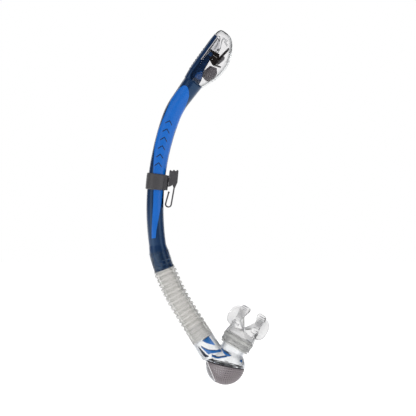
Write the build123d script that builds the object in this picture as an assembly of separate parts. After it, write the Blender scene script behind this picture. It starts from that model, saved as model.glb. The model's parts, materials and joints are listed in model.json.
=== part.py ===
from build123d import *

import os
from math import asin, cos, degrees, hypot, radians, sin

# A dry-top snorkel in millimetres. The snorkel lies in the XZ plane with its top up, and bends towards
# +X at both ends. The origin is the middle of the mask strap slot in the keeper's hook.

# ---- driving dimensions ----

# Barrel: a long gentle arc, a tighter one below the head and another above the flexible tube.
MAIN_CENTRE = (311.1, -12.5)
MAIN_R = 330.0
MAIN_TOP, MAIN_BOTTOM = 20.0, -8.0        # tangent angles from vertical at the ends of the main arc
UPPER_R, UPPER_ANGLE = 90.0, 36.0
LOWER_R, LOWER_ANGLE = 80.0, -14.0
TAPER_FROM = 12.0                         # the barrel is slim and even below this tangent angle
SLIM_R, HEAD_R, NECK_R, COLLAR_R = 10.6, 11.1, 12.2, 12.0
BORE_R = 9.1
NECK_LENGTH = 27.0
SPIGOT_R, SPIGOT_LENGTH, SPIGOT_SWEEP = 10.3, 24.0, 7.0
BARB_R, BARB_LENGTH, BARB_PITCH, BARB_COUNT = 10.9, 2.6, 5.0, 3
INLAY_DEPTH, MARK_DEPTH = 0.5, 0.25
MARK_COUNT, MARK_WIDTH, MARK_RISE, MARK_STROKE = 6, 9.0, 4.5, 1.5
MARK_LOW, MARK_HIGH = 9.8, 19.2           # tangent angles of the first and last mark

# Head, in its own frame: x forward, y across, z along the barrel's top axis.
HEAD_WALL = 1.5
SEAM_X, SEAM_Z, SEAM_R = -8.5, 28.0, 8.0
SEAM_TOP = 92.0                           # above this the cap wraps over to the back
FLAP_PIVOT = (-3.0, 68.2)
FLAP_OPEN = 8.8                           # lean of the open flap from the head's axis
FLAP_SWING = 37.5                         # turn from open to the seat
SEAT_OFFSET, SEAT_ALONG, SEAT_HOLE_R = 9.8, 13.2, 7.5
SEAL_R, SEAL_GAP, SEAL_THICK, PLATE_THICK = 9.4, 0.15, 1.3, 1.2
DUCT_HALF, DUCT_BACK, DUCT_FRONT, DUCT_WALL = 9.2, -12.6, -0.2, 1.2
DUCT_MID, DUCT_TOP = (DUCT_BACK + DUCT_FRONT) / 2, 74.0
SEAT_LIP = 1.4
FLOOR_THICK, FLOOR_HOLE = 3.2, (9.6, 14.5)
SOCKET_WALL, SOCKET_LOW = 1.4, 14.0
RIB_COUNT, RIB_X, RIB_FIRST, RIB_PITCH, RIB_R, RIB_LENGTH = 6, -14.3, 44.0, 4.6, 0.7, 9.0
DRAIN_PLACE, DRAIN_SIZE = (14.0, 0, 33.2), (16, 15, 7.4)          # the cap's lower opening
SLOT_PLACE, SLOT_LEAN, SLOT_SIZE = (14.5, 6.5, 90.0), 38, (6, 1.6, 6)
ARM_IN, ARM_OUT = 10.4, 12.0
PIN_R, PIN_CLEAR = 1.5, 0.06
FLOAT_LIFT = 7.0

# Keeper, in its own frame: x away from the barrel, y across, z along the barrel.
KEEPER_ANGLE, KEEPER_LENGTH = 5.8, 20.0
KEEPER_IN, KEEPER_OUT = 11.0, 12.8
LUG_X, LUG_HALF = 14.8, 8.0
CLIP_X, CLIP_HALF = 15.2, 8.5
STUD_R, STUD_CLEAR, STUD_Z = 2.5, 0.07, 4.0
HOOK_THICK = 1.6

# Flexible tube.
FLEX_R, CUFF_R, FLEX_BORE = 14.4, 13.0, 11.0
FLEX_SWEEP, FLEX_CHORD = 11.0, 53.5
FLEX_STRAIGHT, LOWER_CUFF = 45.0, 20.0

# Lower chamber.
BOWL_CENTRE, BOWL_R, BOWL_WALL = (69.3, -208.8), 24.4, 1.6
INLET_R, INLET_BORE, INLET_SPIGOT_R = 14.5, 12.9, 10.9
OUTLET_R, OUTLET_BORE = 15.5, 13.5
MOUTH_ORIGIN, MOUTH_ANGLE, MOUTH_TURN = (85.9, -175.4), 30.33, 45.0
RIM_RISE, RIM_SLOPE = 1.4, 12.5
DOME_R, DOME_WALL, DECK_R, DECK_THICK = 24.0, 1.3, 22.5, 1.6
SKIRT_R = 24.9
MEMBRANE_R, MEMBRANE_LIFT = 15.0, 1.5

# Mouthpiece: swivel ring, sleeve over it, band, and the lip shield with its two lobes.
SWIVEL_R, SLEEVE_R, BAND_R, NECK_TIP = 17.4, 19.4, 20.3, 13.0
SHIELD_R, SHIELD_THICK, SHIELD_Z = 28.0, 2.0, 39.5
LOBE_X, LOBE_R = 14.0, 18.0


# ---- helpers ----

def point(x, z, y=0.0):
    """A point by its place in the snorkel's own plane."""
    return Vector(x, y, z)


def arc_point(centre, radius, angle):
    """The point of an arc bending towards +X where the tangent leans by angle from vertical."""
    a = radians(angle)
    return point(centre[0] - radius * cos(a), centre[1] + radius * sin(a))


def arc_edge(centre, radius, start, end):
    """An arc between two tangent angles."""
    angles = (start, (start + end) / 2, end)
    return Edge.make_three_point_arc(*[arc_point(centre, radius, a) for a in angles])


def centre_from(start, radius, angle):
    """The centre of an arc that leaves start with its tangent at angle."""
    a = radians(angle)
    return (start.X + radius * cos(a), start.Z - radius * sin(a))


def disc_at(edge, end, radius):
    """A round section at the start (0) or end (1) of an edge, square to it."""
    place = Plane(origin=edge.position_at(end), z_dir=edge.tangent_at(end))
    return place * Circle(radius)


def tube_along(edge, radius_start, radius_end=None):
    """A solid round bar along one edge, tapered when two radii are given."""
    if radius_end is None or radius_end == radius_start:
        return sweep(disc_at(edge, 0, radius_start), path=edge)
    sections = [disc_at(edge, 0, radius_start), disc_at(edge, 1, radius_end)]
    return sweep(sections, path=edge, multisection=True)


def frame_at(origin, axis, forward):
    """A plane whose z is axis, x is forward, and y is the snorkel's own +Y."""
    return Plane(origin=origin, x_dir=forward, z_dir=axis)


def side_prism(outline, half_width):
    """A face drawn in a local frame's XZ plane, thickened evenly to both sides."""
    return extrude(outline, amount=half_width, both=True)


def side_polygon(points, half_width):
    """A prism with straight sides, from (x, z) corners."""
    return side_prism(make_face(Polyline(*[point(x, z) for x, z in points], close=True)), half_width)


def ring(outer, inner, z_low, z_high):
    """A flat-ended ring about local z."""
    body = Pos(0, 0, (z_low + z_high) / 2) * Cylinder(outer, z_high - z_low)
    return body - Pos(0, 0, (z_low + z_high) / 2) * Cylinder(inner, z_high - z_low + 1)


def bar(radius, z_low, z_high):
    """A solid cylinder about local z."""
    return Pos(0, 0, (z_low + z_high) / 2) * Cylinder(radius, z_high - z_low)


def cross_bar(x, z, radius, y_low, y_high):
    """A solid cylinder across the snorkel, along local y."""
    return Pos(x, (y_low + y_high) / 2, z) * Rot(90, 0, 0) * Cylinder(radius, y_high - y_low)


# ---- centre lines ----

MAIN_ARC = arc_edge(MAIN_CENTRE, MAIN_R, MAIN_BOTTOM, TAPER_FROM)
TAPER_ARC = arc_edge(MAIN_CENTRE, MAIN_R, TAPER_FROM, MAIN_TOP)
UPPER_CENTRE = centre_from(TAPER_ARC.position_at(1), UPPER_R, MAIN_TOP)
UPPER_ARC = arc_edge(UPPER_CENTRE, UPPER_R, MAIN_TOP, UPPER_ANGLE)
LOWER_CENTRE = centre_from(MAIN_ARC.position_at(0), LOWER_R, MAIN_BOTTOM)
LOWER_ARC = arc_edge(LOWER_CENTRE, LOWER_R, MAIN_BOTTOM, LOWER_ANGLE)
SPIGOT_ARC_R = SPIGOT_LENGTH / radians(SPIGOT_SWEEP)
SPIGOT_CENTRE = centre_from(LOWER_ARC.position_at(1), SPIGOT_ARC_R, LOWER_ANGLE)
SPIGOT_END_ANGLE = LOWER_ANGLE - SPIGOT_SWEEP
SPIGOT_ARC = arc_edge(SPIGOT_CENTRE, SPIGOT_ARC_R, LOWER_ANGLE, SPIGOT_END_ANGLE)

FLEX_ARC_R = FLEX_CHORD / 2 / sin(radians(FLEX_SWEEP / 2))
FLEX_CENTRE = centre_from(SPIGOT_ARC.position_at(1), FLEX_ARC_R, SPIGOT_END_ANGLE)
FLEX_END_ANGLE = SPIGOT_END_ANGLE - FLEX_SWEEP
FLEX_ARC = arc_edge(FLEX_CENTRE, FLEX_ARC_R, SPIGOT_END_ANGLE, FLEX_END_ANGLE)
INLET_DIR = point(-sin(radians(FLEX_END_ANGLE)), -cos(radians(FLEX_END_ANGLE)))
FLEX_LINE_TOP = FLEX_ARC.position_at(1)
FLEX_END = FLEX_LINE_TOP + INLET_DIR * FLEX_STRAIGHT
CUFF_TOP = FLEX_END - INLET_DIR * LOWER_CUFF

HEAD_ORIGIN = UPPER_ARC.position_at(1)
HEAD_AXIS = point(sin(radians(UPPER_ANGLE)), cos(radians(UPPER_ANGLE)))
HEAD_FORWARD = point(cos(radians(UPPER_ANGLE)), -sin(radians(UPPER_ANGLE)))
HEAD = frame_at(HEAD_ORIGIN, HEAD_AXIS, HEAD_FORWARD)

KEEPER_ORIGIN = arc_point(MAIN_CENTRE, MAIN_R, KEEPER_ANGLE)
KEEPER_AXIS = point(sin(radians(KEEPER_ANGLE)), cos(radians(KEEPER_ANGLE)))
KEEPER_OUTWARD = point(cos(radians(KEEPER_ANGLE)), -sin(radians(KEEPER_ANGLE)))
KEEPER = frame_at(KEEPER_ORIGIN, KEEPER_AXIS, KEEPER_OUTWARD)

MOUTH_AXIS = point(sin(radians(MOUTH_ANGLE)), cos(radians(MOUTH_ANGLE)))
MOUTH_SIDE = point(cos(radians(MOUTH_ANGLE)), -sin(radians(MOUTH_ANGLE)))
MOUTH = frame_at(point(*MOUTH_ORIGIN), MOUTH_AXIS, MOUTH_SIDE)
INLET = Plane(origin=FLEX_END, z_dir=INLET_DIR)
RIM_UP = point(sin(radians(RIM_SLOPE)), cos(radians(RIM_SLOPE)))
RIM_SIDE = point(cos(radians(RIM_SLOPE)), -sin(radians(RIM_SLOPE)))
RIM = frame_at(point(*BOWL_CENTRE) + RIM_UP * RIM_RISE, RIM_UP, RIM_SIDE)


# ---- barrel and its inlays ----

def barrel_core(shrink=0.0):
    """The barrel's outer form from collar to neck, without the spigot, drawn in by shrink."""
    core = tube_along(MAIN_ARC, SLIM_R - shrink)
    core += tube_along(TAPER_ARC, SLIM_R - shrink, HEAD_R - shrink)
    core += tube_along(UPPER_ARC, HEAD_R - shrink)
    core += tube_along(LOWER_ARC, SLIM_R - shrink, COLLAR_R - shrink)
    neck = Cone(HEAD_R - shrink, NECK_R - shrink, NECK_LENGTH)
    core += HEAD * Pos(0, 0, NECK_LENGTH / 2) * neck
    return core


def spigot():
    """The plain end that the flexible tube is pushed over, with its barbs."""
    body = tube_along(SPIGOT_ARC, SPIGOT_R)
    for index in range(BARB_COUNT):
        along = 1 - (1.5 + index * BARB_PITCH) / SPIGOT_LENGTH
        place = Plane(origin=SPIGOT_ARC.position_at(along), z_dir=SPIGOT_ARC.tangent_at(along))
        body += place * Cone(BARB_R, SPIGOT_R - 0.4, BARB_LENGTH)
    return body


def barrel_bore():
    """The air passage through the barrel and its spigot, as one even bar that runs out past both ends."""
    spare = 5.0
    low, high = SPIGOT_ARC.position_at(1), HEAD_ORIGIN + HEAD_AXIS * (NECK_LENGTH + spare)
    way_in = Edge.make_line(low + SPIGOT_ARC.tangent_at(1) * spare, low)
    arcs = [
        arc_edge(SPIGOT_CENTRE, SPIGOT_ARC_R, SPIGOT_END_ANGLE, LOWER_ANGLE),
        arc_edge(LOWER_CENTRE, LOWER_R, LOWER_ANGLE, MAIN_BOTTOM),
        arc_edge(MAIN_CENTRE, MAIN_R, MAIN_BOTTOM, MAIN_TOP),
        UPPER_ARC,
    ]
    path = Wire([way_in] + arcs + [Edge.make_line(HEAD_ORIGIN, high)])
    return sweep(disc_at(way_in, 0, BORE_R), path=path)


def beside_main(height, offset):
    """A point beside the main arc at a height, offset towards +X."""
    angle = degrees(asin((height - MAIN_CENTRE[1]) / MAIN_R))
    return arc_point(MAIN_CENTRE, MAIN_R - offset, angle)


def stripe_outline():
    """The inlay's outline: nearly as wide as the barrel above the keeper, and a narrow end below it."""
    left = [(-49.2, -6.0), (-38.8, -5.0), (-21.5, -3.0), (-5, -2.0), (10, -2.2), (31.5, -5.0)]
    left += [(48, -7.0), (64, -9.3), (82, -10.1)]
    right = [(86, 10.1), (55, 10.1), (31.5, 10.1), (10, 9.1), (-5.8, 8.1), (-18, 6.2), (-30, 3.4)]
    right += [(-40, 0.9), (-49.2, -1.0)]
    top = [(-10.2, -4), (-10.2, 6), (-9.2, 13.3), (-7.4, 17.2), (-4.6, 18.9), (-1.6, 18.2), (2.6, 15)]
    top += [(6, 10.6), (8.2, 5), (9.4, 0)]
    edge = [beside_main(z, e) for z, e in left]
    edge += [HEAD.from_local_coords(point(x, z)) for x, z in top]
    edge += [beside_main(z, e) for z, e in right]
    return make_face(Polyline(*edge, close=True))


def chevrons():
    """A row of plain chevrons along the stripe, as faces in the snorkel's plane."""
    faces = []
    for index in range(MARK_COUNT):
        angle = MARK_LOW + (MARK_HIGH - MARK_LOW) * index / (MARK_COUNT - 1)
        origin = arc_point(MAIN_CENTRE, MAIN_R, angle)
        up = point(sin(radians(angle)), cos(radians(angle)))
        side = point(cos(radians(angle)), -sin(radians(angle)))
        half = MARK_WIDTH / 2
        lower = [(-half, -MARK_RISE), (0, 0), (half, -MARK_RISE)]
        upper = [(half, MARK_STROKE - MARK_RISE), (0, MARK_STROKE), (-half, MARK_STROKE - MARK_RISE)]
        corners = [origin + side * x + up * z for x, z in lower + upper]
        faces.append(make_face(Polyline(*corners, close=True)))
    return faces


def barrel_parts():
    """The barrel, its two stripe inlays and the marks let into them."""
    outer, under_inlay, under_mark = barrel_core(), barrel_core(INLAY_DEPTH), barrel_core(MARK_DEPTH)
    barrel = outer + spigot() - barrel_bore()
    stripes = {}
    marks = []
    for name, direction in (("stripe_front", (0, -1, 0)), ("stripe_back", (0, 1, 0))):
        stripe = (outer & extrude(stripe_outline(), amount=20, dir=direction)) - under_inlay
        barrel -= stripe
        for face in chevrons():
            mark = (outer & extrude(face, amount=20, dir=direction)) - under_mark
            marks.append(mark.solid())
            stripe -= mark
        stripes[name] = stripe
    return {"barrel": barrel, "stripe_marks": Compound(children=marks), **stripes}


# ---- head ----

# Head sections: height, back, front, half width and corner rounding.
HEAD_SECTIONS = [
    (27.0, -12.8, 11.8, 12.3, 11.8),
    (40.0, -14.1, 17.5, 13.8, 12.0),
    (54.0, -14.5, 21.8, 14.8, 11.0),
    (70.0, -14.5, 22.4, 15.0, 10.5),
    (84.0, -14.5, 18.2, 14.0, 10.0),
    (94.0, -13.6, 12.0, 11.5, 9.0),
    (102.0, -10.6, 3.0, 6.6, 5.6),
]


def head_form(shrink):
    """The head's outer form, drawn in by shrink on every side."""
    sections = []
    for height, back, front, half, corner in HEAD_SECTIONS:
        lift = -shrink if height == HEAD_SECTIONS[-1][0] else 0
        place = Pos((back + front) / 2, 0, height + lift)
        width = front - back - 2 * shrink
        sections.append(place * RectangleRounded(width, 2 * (half - shrink), corner - shrink))
    form = loft(sections)
    if shrink == 0:
        form = fillet(form.edges().group_by(Axis.Z)[-1], 1.6)
    return form


def seam_prism():
    """All that lies in front of the cap's rim, or over its top."""
    far, top = 60.0, 120.0
    corner = point(SEAM_X + SEAM_R, SEAM_Z + SEAM_R)
    turn = corner + point(-SEAM_R * sin(radians(45)), -SEAM_R * sin(radians(45)))
    outline = [
        Polyline(point(-far, top), point(-far, SEAM_TOP), point(SEAM_X, SEAM_TOP), point(SEAM_X, SEAM_Z + SEAM_R)),
        ThreePointArc(point(SEAM_X, SEAM_Z + SEAM_R), turn, point(SEAM_X + SEAM_R, SEAM_Z)),
        Polyline(point(SEAM_X + SEAM_R, SEAM_Z), point(far, SEAM_Z), point(far, top), point(-far, top)),
    ]
    return side_prism(make_face(outline), 30)


def lever_point(tilt, along, offset):
    """A point of the flap in the head's frame: along the flap from the pivot's foot, and off the pivot."""
    a = radians(tilt)
    x = FLAP_PIVOT[0] + along * sin(a) + offset * cos(a)
    return (x, FLAP_PIVOT[1] + along * cos(a) - offset * sin(a))


def flap_plane(tilt, along, offset):
    """A frame on the flap whose z points away from the seat."""
    x, z = lever_point(tilt, along, offset)
    a = radians(tilt)
    return Plane(origin=(x, 0, z), x_dir=(sin(a), 0, cos(a)), z_dir=(cos(a), 0, -sin(a)))


def flap_block(tilt, along, offset, half_width):
    """A block on the flap between two distances along it and two offsets from the pivot."""
    corners = [(along[0], offset[0]), (along[1], offset[0]), (along[1], offset[1]), (along[0], offset[1])]
    return side_polygon([lever_point(tilt, s, d) for s, d in corners], half_width)


def head_parts():
    """The head's shell, cap, valve frame and seat, in the head's frame."""
    outer, inner = head_form(0), head_form(HEAD_WALL)
    shell, front = outer - inner, seam_prism()
    floor_top = SEAM_Z + FLOOR_THICK / 2
    body = shell - front
    body += inner & Pos(0, 0, SEAM_Z) * Box(60, 60, FLOOR_THICK)
    body += ring(BORE_R, BORE_R - SOCKET_WALL, SOCKET_LOW, SEAM_Z - 0.5)
    body -= Pos(DUCT_MID, 0, SEAM_Z) * Box(*FLOOR_HOLE, 12)
    for index in range(RIB_COUNT):
        body += Pos(RIB_X, 0, RIB_FIRST + index * RIB_PITCH) * Rot(90, 0, 0) * Cylinder(RIB_R, RIB_LENGTH)

    cap = shell & front
    cap -= Pos(*DRAIN_PLACE) * Box(*DRAIN_SIZE)
    for side in (-1, 1):
        x, y, z = SLOT_PLACE
        cap -= Pos(x, side * y, z) * Rot(0, SLOT_LEAN, 0) * Box(*SLOT_SIZE)

    room = head_form(HEAD_WALL + 0.05)
    bore_room = head_form(HEAD_WALL + DUCT_WALL)
    duct_depth = DUCT_FRONT - DUCT_BACK
    duct_high = DUCT_TOP - floor_top
    duct_z = (DUCT_TOP + floor_top) / 2
    duct = Pos(DUCT_MID, 0, duct_z) * Box(duct_depth, 2 * DUCT_HALF, duct_high)
    duct = fillet(duct.edges().filter_by(Axis.Z).group_by(Axis.X)[0], 3.0)
    cheek = [(DUCT_FRONT - 1, floor_top), (7.2, floor_top), (6.4, 36), (1.4, 50), (-0.4, 66)]
    cheek += [(DUCT_FRONT - 1, 66)]
    between = [(-3, 20), (20, 20), (20, 80), (-3, 80)]
    cheeks = side_polygon(cheek, DUCT_HALF) - side_polygon(between, DUCT_HALF - DUCT_WALL)
    frame = (duct + cheeks) & room
    passage = Box(duct_depth - 2 * DUCT_WALL, 2 * (DUCT_HALF - DUCT_WALL), duct_high + 8)
    frame -= (Pos(DUCT_MID, 0, duct_z) * passage) & bore_room

    closed = FLAP_OPEN - FLAP_SWING
    low, high = lever_point(closed, 3.4, SEAT_OFFSET - 0.6), lever_point(closed, 23.4, SEAT_OFFSET - 0.6)
    seat_outline = [(DUCT_BACK, DUCT_TOP), (DUCT_FRONT, DUCT_TOP), low, high, (DUCT_BACK + 1.0, high[1])]
    seat = side_polygon(seat_outline, DUCT_HALF)
    hollow_low = lever_point(closed, 5.4, SEAT_OFFSET - 2.2)
    hollow_high = lever_point(closed, 20.6, SEAT_OFFSET - 2.2)
    hollow = [(DUCT_BACK + DUCT_WALL, DUCT_TOP - 1), (DUCT_FRONT - DUCT_WALL, DUCT_TOP - 1)]
    hollow += [hollow_low, hollow_high]
    hollow += [(DUCT_BACK + 2.2, hollow_high[1])]
    seat = (seat & room) - side_polygon(hollow, DUCT_HALF - DUCT_WALL)
    seat += flap_plane(closed, SEAT_ALONG, SEAT_OFFSET) * bar(SEAT_HOLE_R + SEAT_LIP, -SEAT_LIP, 0)
    seat -= flap_plane(closed, SEAT_ALONG, SEAT_OFFSET) * bar(SEAT_HOLE_R, -6, 1)
    return {"head_body": body, "splash_cap": cap, "valve_frame": frame, "valve_seat": seat}


def float_and_flap():
    """The float, the flap with its lever, and the pins, in the head's frame."""
    outline = [(2.6, 48), (4.9, 40.4), (11, 38.9), (16.2, 39.8), (18.6, 45.3), (17.4, 54.2)]
    outline += [(13.4, 59), (4.9, 56.6)]
    half_float, half_tongue, tongue_front = 9.8, 7.3, 7.4
    floater = side_polygon(outline, half_float)
    for side in (-1, 1):
        floater -= Pos(0, side * (half_tongue + 5), 50) * Box(2 * tongue_front, 10, 40)
    floater = fillet(floater.edges().filter_by(Axis.Y), 0.8) & head_form(HEAD_WALL + 0.4)

    px, pz = FLAP_PIVOT
    arm = [(-5.4, 66.6), (-5.2, 73.4), (6.4, 74.8), (9.6, 66.4), (9.4, 60.6), (5.6, 60.2), (1.0, 62.4)]
    arms = side_polygon(arm, ARM_OUT)
    arms -= side_polygon([(-0.2, 69.2), (6.6, 69.2), (6.6, 70.8), (-0.2, 70.8)], ARM_OUT + 1)
    arms -= cross_bar(2.2, 65.3, 1.1, -ARM_OUT - 1, ARM_OUT + 1)
    arms -= Box(200, 2 * ARM_IN, 400)
    lever = arms
    lever += flap_block(FLAP_OPEN, (-3.0, 2.0), (8.8, 12.6), ARM_OUT)
    plate_low = SEAT_OFFSET + SEAL_GAP + SEAL_THICK
    face = flap_plane(FLAP_OPEN, SEAT_ALONG, 0)
    lever += face * bar(SEAL_R - 1.2, plate_low, plate_low + PLATE_THICK)
    lever += flap_block(FLAP_OPEN, (0, SEAT_ALONG), (plate_low, plate_low + PLATE_THICK), 5)
    tail = [(6.6, 61.4), (7.2, 59.8), (17.0, 62.6), (16.6, 64.0)]
    lever += side_polygon(tail, ARM_OUT) - side_polygon([(9.8, 55), (20, 55), (20, 70), (9.8, 70)], 20)
    lever += side_polygon(tail, 6)
    for side in (-1, 1):
        lever -= cross_bar(px, pz, PIN_R + PIN_CLEAR, side * ARM_IN - 3, side * ARM_IN + 3)

    seal = face * bar(SEAL_R, SEAT_OFFSET + SEAL_GAP, plate_low)
    weight_out = plate_low + PLATE_THICK + 3.6
    weight = flap_block(FLAP_OPEN, (-1.6, 9.4), (plate_low + PLATE_THICK, weight_out), 8)
    weight = fillet(weight.edges().filter_by(Axis.Y).group_by(Axis.X)[-1], 1.2)
    lever -= weight
    pins = []
    for side in (-1, 1):
        inner, outer = DUCT_HALF, ARM_OUT + 0.2
        pin = cross_bar(px, pz, PIN_R, *sorted((side * inner, side * outer)))
        head_low, head_high = ARM_OUT + 0.2, ARM_OUT + 0.9
        pin += cross_bar(px, pz, 2.7, *sorted((side * head_low, side * head_high)))
        pins.append(pin.solid())
    return {"float": floater, "flap_lever": lever, "flap_seal": seal, "flap_weight": weight,
            "flap_pins": Compound(children=pins)}


# ---- keeper ----

def keeper_parts():
    """The sliding ring, its stud, and the clip with the hook for the mask strap."""
    half_angle = degrees(KEEPER_LENGTH / 2 / MAIN_R)
    arc = arc_edge(MAIN_CENTRE, MAIN_R, KEEPER_ANGLE - half_angle, KEEPER_ANGLE + half_angle)
    ring_body = tube_along(arc, KEEPER_OUT)
    ring_body = chamfer(ring_body.edges().filter_by(GeomType.CIRCLE), 0.9)
    lug = Pos((4 + LUG_X) / 2, 0, 0) * Box(LUG_X - 4, 2 * LUG_HALF, KEEPER_LENGTH - 1.5)
    lug = chamfer(lug.edges().filter_by(Axis.Z).group_by(Axis.X)[-1], 1.5)
    ring_body += KEEPER * lug
    ring_body -= tube_along(arc_edge(MAIN_CENTRE, MAIN_R, KEEPER_ANGLE - 3, KEEPER_ANGLE + 3), KEEPER_IN)
    axle = Pos(0, 0, STUD_Z) * Rot(0, 90, 0)
    ring_body -= KEEPER * axle * bar(STUD_R + STUD_CLEAR, 5, 20)
    ring_body -= KEEPER * axle * bar(STUD_R + 1.6, 5, 12.9)

    stud = axle * (bar(STUD_R, 11.4, 22) + bar(STUD_R + 1.3, 11.4, 12.6))
    block = [(CLIP_X, 15.2), (26.2, 16.2), (26.3, 1.8), (23.9, -5.4), (22.2, -5.4), (20.6, -1.8)]
    block += [(18.2, -3.8), (CLIP_X, -5.0)]
    clip = side_polygon(block, CLIP_HALF)
    for x, z in ((16.4, 15.2), (20.7, 15.9), (25.0, 16.2)):
        clip += cross_bar(x, z, 1.1, -CLIP_HALF, CLIP_HALF)
    bend_r = 3.6
    hook_line = [
        Line(point(23.0, -4.6), point(21.4, -26.4)),
        ThreePointArc(point(21.4, -26.4), point(17.8, -26.2 - bend_r), point(14.4, -25.6)),
        Line(point(14.4, -25.6), point(16.8, -11.6)),
    ]
    path = Wire(hook_line)
    start = Plane(origin=path.position_at(0), x_dir=(0, 1, 0), z_dir=path.tangent_at(0))
    clip += sweep(start * Rectangle(2 * CLIP_HALF, HOOK_THICK), path=path, transition=Transition.RIGHT)
    clip += cross_bar(16.8, -11.6, 1.1, -CLIP_HALF, CLIP_HALF)
    clip -= axle * bar(STUD_R, 10, 22)
    return {"keeper_ring": ring_body, "clip_stud": KEEPER * stud, "strap_clip": KEEPER * clip}


# ---- flexible tube ----

def flex_tube():
    """The soft tube as a plain closed form with its true outside, bore and cuffs."""
    cuff_line = Edge.make_line(CUFF_TOP, FLEX_END)
    ring_line = Edge.make_line(FLEX_LINE_TOP, CUFF_TOP)
    body = tube_along(SPIGOT_ARC, CUFF_R) + tube_along(FLEX_ARC, FLEX_R)
    body += tube_along(ring_line, FLEX_R) + tube_along(cuff_line, FLEX_R)
    body -= tube_along(SPIGOT_ARC, FLEX_BORE) + tube_along(FLEX_ARC, FLEX_BORE)
    body -= tube_along(ring_line, FLEX_BORE) + tube_along(cuff_line, FLEX_BORE)
    return body


# ---- lower chamber and purge valve ----

def below_rim(depth):
    """Everything more than depth below the purge rim."""
    return RIM * (Pos(0, 0, -depth - 50) * Box(200, 200, 100))


def lower_chamber():
    """The clear housing: inlet, bowl and outlet with one air space inside."""
    centre = point(*BOWL_CENTRE)
    along_in = (centre - FLEX_END).dot(INLET_DIR)
    along_out = (centre - point(*MOUTH_ORIGIN)).dot(MOUTH_AXIS)
    outer = Pos(*centre) * Sphere(BOWL_R)
    outer += INLET * bar(INLET_R, 0, along_in)
    outer += INLET * bar(INLET_SPIGOT_R, -LOWER_CUFF + 1, 1)
    outer += MOUTH * bar(OUTLET_R, along_out, 2)
    air = Pos(*centre) * Sphere(BOWL_R - BOWL_WALL)
    air += INLET * bar(INLET_BORE, 2, along_in)
    air += INLET * bar(BORE_R, -LOWER_CUFF, 3)
    air += MOUTH * bar(OUTLET_BORE, along_out, 3)
    housing = outer - air - below_rim(0)
    skirt = Pos(*centre) * (Sphere(SKIRT_R) - Sphere(DOME_R + 0.05))
    crescent = [(30, -198), (49.2, -202), (50.4, -205), (61.1, -231.4), (61, -240), (30, -240)]
    skirt &= side_polygon(crescent, 60)
    return housing + skirt


def purge_parts():
    """The valve seat, disc, gasket and perforated cover, all square to the rim's axis."""
    seat = ring(DECK_R, MEMBRANE_R - 2.0, 0, DECK_THICK)
    seat += ring(4.2, 1.7, 0, DECK_THICK)
    for index in range(6):
        seat += Rot(0, 0, 60 * index) * Pos(8.3, 0, DECK_THICK / 2) * Box(10.6, 1.8, DECK_THICK)
    disc = bar(MEMBRANE_R, -1.1, -0.2) + bar(1.5, -0.3, 4.2) + bar(2.4, 3.4, 4.2)
    gasket = ring(DOME_R - 0.1, DOME_R - 2.2, -1.0, 0)
    dome = Sphere(DOME_R) - Sphere(DOME_R - DOME_WALL)
    for row, count in ((24, 8), (40, 12), (56, 18)):
        for index in range(count):
            dome -= Rot(0, 0, 360 * index / count) * Rot(0, 180 - row, 0) * bar(1.2, 15, 30)
    dome = Pos(0, 0, -RIM_RISE) * dome - Pos(0, 0, 49) * Box(100, 100, 100)
    parts = {"purge_seat": seat, "purge_membrane": disc, "cover_gasket": gasket, "purge_cover": dome}
    return {name: RIM * shape for name, shape in parts.items()}


def inner_frame():
    """The light blue liner: a sleeve in the inlet, cut back on a slant, and a collar round the bowl."""
    sleeve = INLET * ring(INLET_BORE - 0.1, INLET_BORE - 1.3, 6, 30)
    window = [(30, -196), (62, -176), (70, -186), (40, -205)]
    sleeve -= side_polygon([(20, -190), (48, -200), (70, -215), (20, -240)], 40)
    sleeve -= Pos(0, 12, 0) * side_polygon(window, 6)
    sleeve -= below_rim(-DECK_THICK - 0.2)
    centre = point(*BOWL_CENTRE)
    collar = Pos(*centre) * (Sphere(BOWL_R - BOWL_WALL - 0.1) - Sphere(BOWL_R - BOWL_WALL - 1.3))
    collar -= below_rim(-DECK_THICK - 0.2)
    collar -= RIM * (Pos(0, 0, DECK_THICK + 7.2 + 50) * Box(200, 200, 100))
    collar -= MOUTH * bar(OUTLET_BORE, -60, 0)
    collar -= INLET * bar(INLET_BORE, 0, 40)
    return Compound(children=[s for s in (sleeve.solids() + collar.solids()) if s.volume > 20])


# ---- mouthpiece ----

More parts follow.
